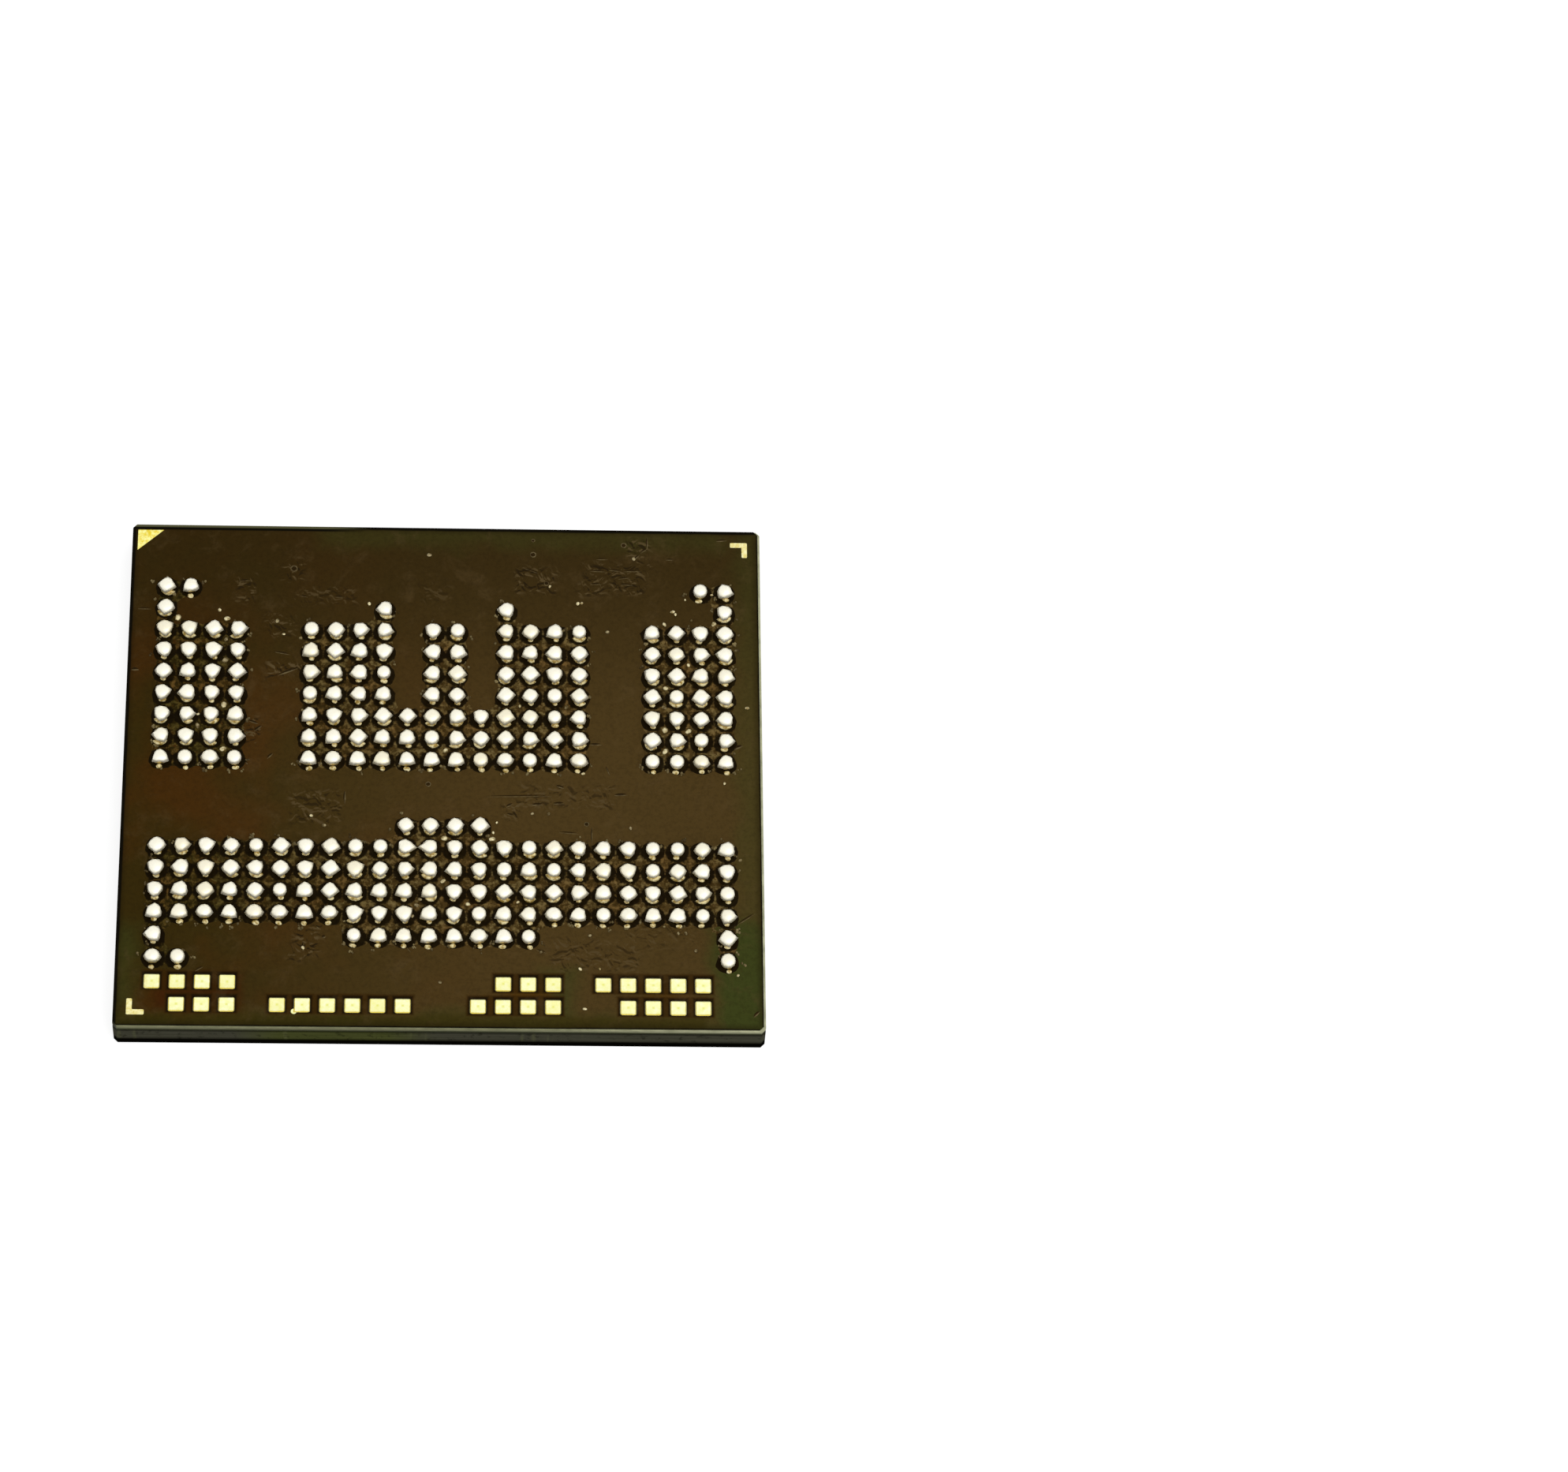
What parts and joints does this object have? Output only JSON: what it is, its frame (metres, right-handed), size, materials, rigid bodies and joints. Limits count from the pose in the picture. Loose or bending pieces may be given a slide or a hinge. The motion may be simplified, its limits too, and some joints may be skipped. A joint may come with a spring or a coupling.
{
  "type": "ball grid array memory chip",
  "caption": "Thin rectangular ball grid array chip lying on its moulded face, with fields of solder balls, square gold test pads and gold corner marks on the upper side.",
  "frame": {"origin": "middle of the flat moulded face that the chip lies on, at the height of that face", "axes": "+X along the long side, +Y along the short side towards the edge with the pin-one triangle, +Z from the moulded face to the ball tips"},
  "size_m": [0.013, 0.0116, 0.001],
  "materials": {
    "moulding_compound": "fine matt moulded epoxy, sawn sides",
    "laminate": "sawn glass-fibre laminate edge",
    "solder_mask": "satin, dark brown with green borders and flux traces",
    "gold_plate": "gold over nickel, satin",
    "solder": "bright reflowed solder",
    "silicon": "ground silicon",
    "attach_film": "die attach film",
    "gold_wire": "drawn gold wire"
  },
  "bodies": {
    "root": {"bond_fingers_controller": "gold_plate", "bond_fingers_flash": "gold_plate", "bond_fingers_ram": "gold_plate", "bond_wires_controller": "gold_wire", "bond_wires_flash_lower": "gold_wire", "bond_wires_flash_upper": "gold_wire", "bond_wires_ram_lower": "gold_wire", "bond_wires_ram_upper": "gold_wire", "controller_die": "silicon", "controller_film": "attach_film", "corner_mark_lower_left": "gold_plate", "corner_mark_upper_right": "gold_plate", "flash_die_lower": "silicon", "flash_die_upper": "silicon", "flash_film_lower": "attach_film", "flash_film_upper": "attach_film", "laminate": "laminate", "mould_cap": "moulding_compound", "pin_one_triangle": "gold_plate", "ram_die_lower": "silicon", "ram_die_upper": "silicon", "ram_film_lower": "attach_film", "ram_film_upper": "attach_film", "solder_balls_corner_lower_left": "solder", "solder_balls_corner_lower_right": "solder", "solder_balls_corner_upper_left": "solder", "solder_balls_corner_upper_right": "solder", "solder_balls_left_block": "solder", "solder_balls_lower_band": "solder", "solder_balls_lower_band_crown": "solder", "solder_balls_lower_band_foot": "solder", "solder_balls_middle_base": "solder", "solder_balls_middle_centre": "solder", "solder_balls_middle_left": "solder", "solder_balls_middle_right": "solder", "solder_balls_right_block": "solder", "solder_mask": "solder_mask", "test_pads_left": "gold_plate", "test_pads_middle": "gold_plate", "test_pads_right": "gold_plate", "test_pads_row": "gold_plate"}
  },
  "joints": []
}
